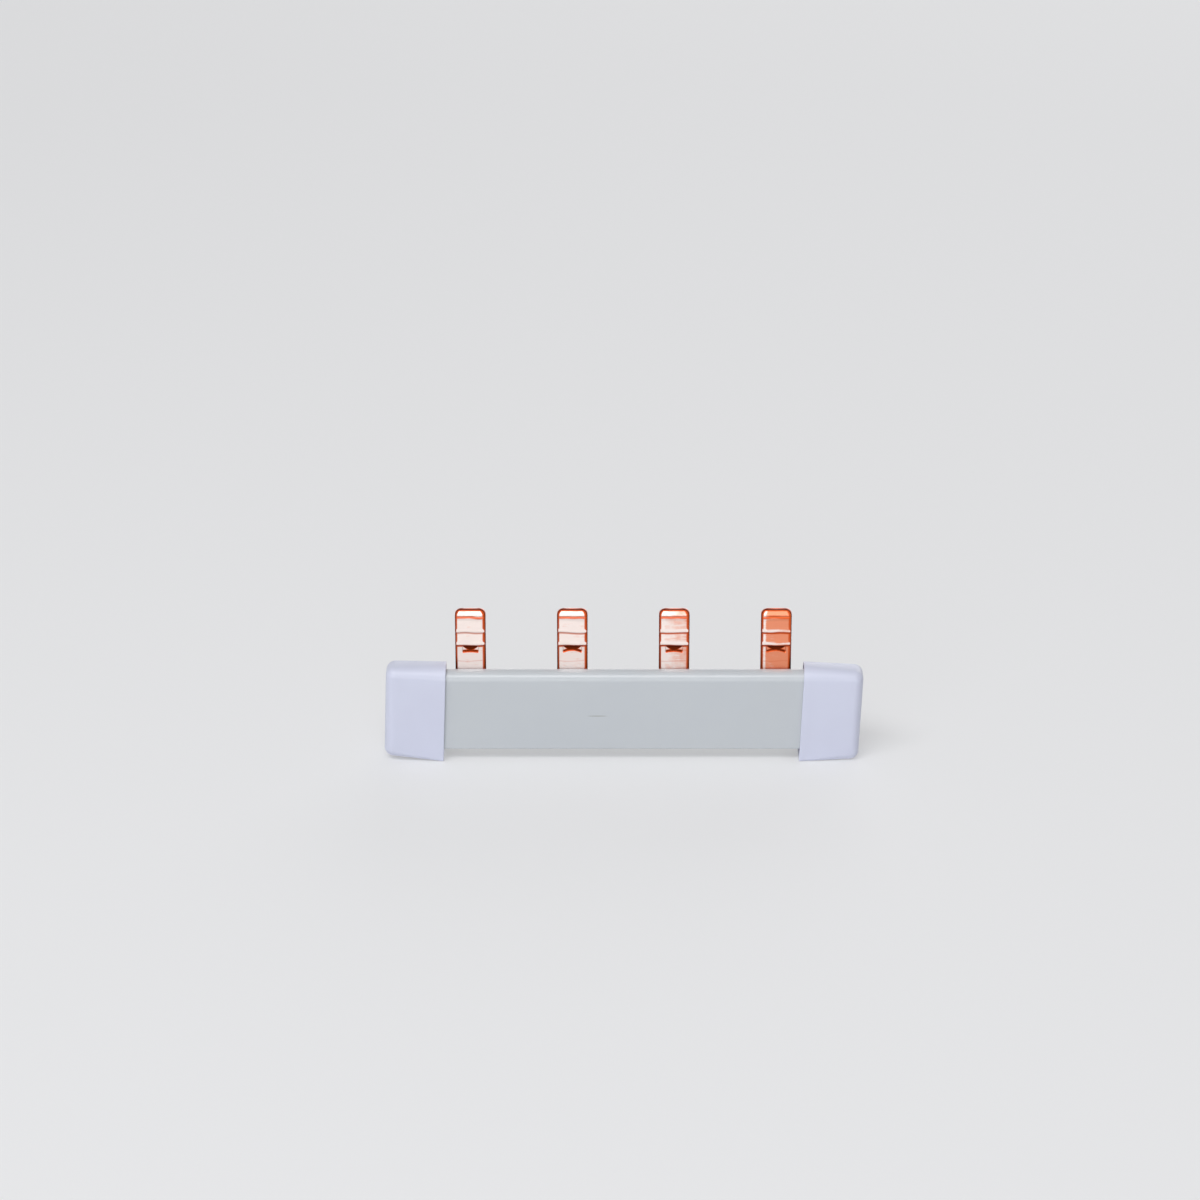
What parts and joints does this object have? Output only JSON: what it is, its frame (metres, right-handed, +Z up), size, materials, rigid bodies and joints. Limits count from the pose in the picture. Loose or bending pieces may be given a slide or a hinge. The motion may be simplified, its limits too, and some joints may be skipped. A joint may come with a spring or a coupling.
{
  "type": "comb busbar",
  "caption": "Pin comb busbar for a row of single-pole breakers: a stamped copper comb in a grey insulating profile, closed by push-on end caps.",
  "frame": {"origin": "middle of the bar's length and thickness, at the level that it stands on", "axes": "+X along the bar, +Y from the flat front towards the rear, +Z up along the pins"},
  "size_m": [0.085, 0.006, 0.0283],
  "materials": {
    "copper": "bare rolled copper, stamped and coined, bright faces with darker sheared edges",
    "grey_pvc": "extruded rigid PVC, pale grey, satin face with a glossy rounded edge",
    "white_plastic": "moulded milky white plastic with a faint lavender tint, semi-gloss"
  },
  "bodies": {
    "root": {"copper_comb": "copper", "insulating_profile": "grey_pvc", "left_end_cap": "white_plastic", "right_end_cap": "white_plastic"}
  },
  "joints": []
}
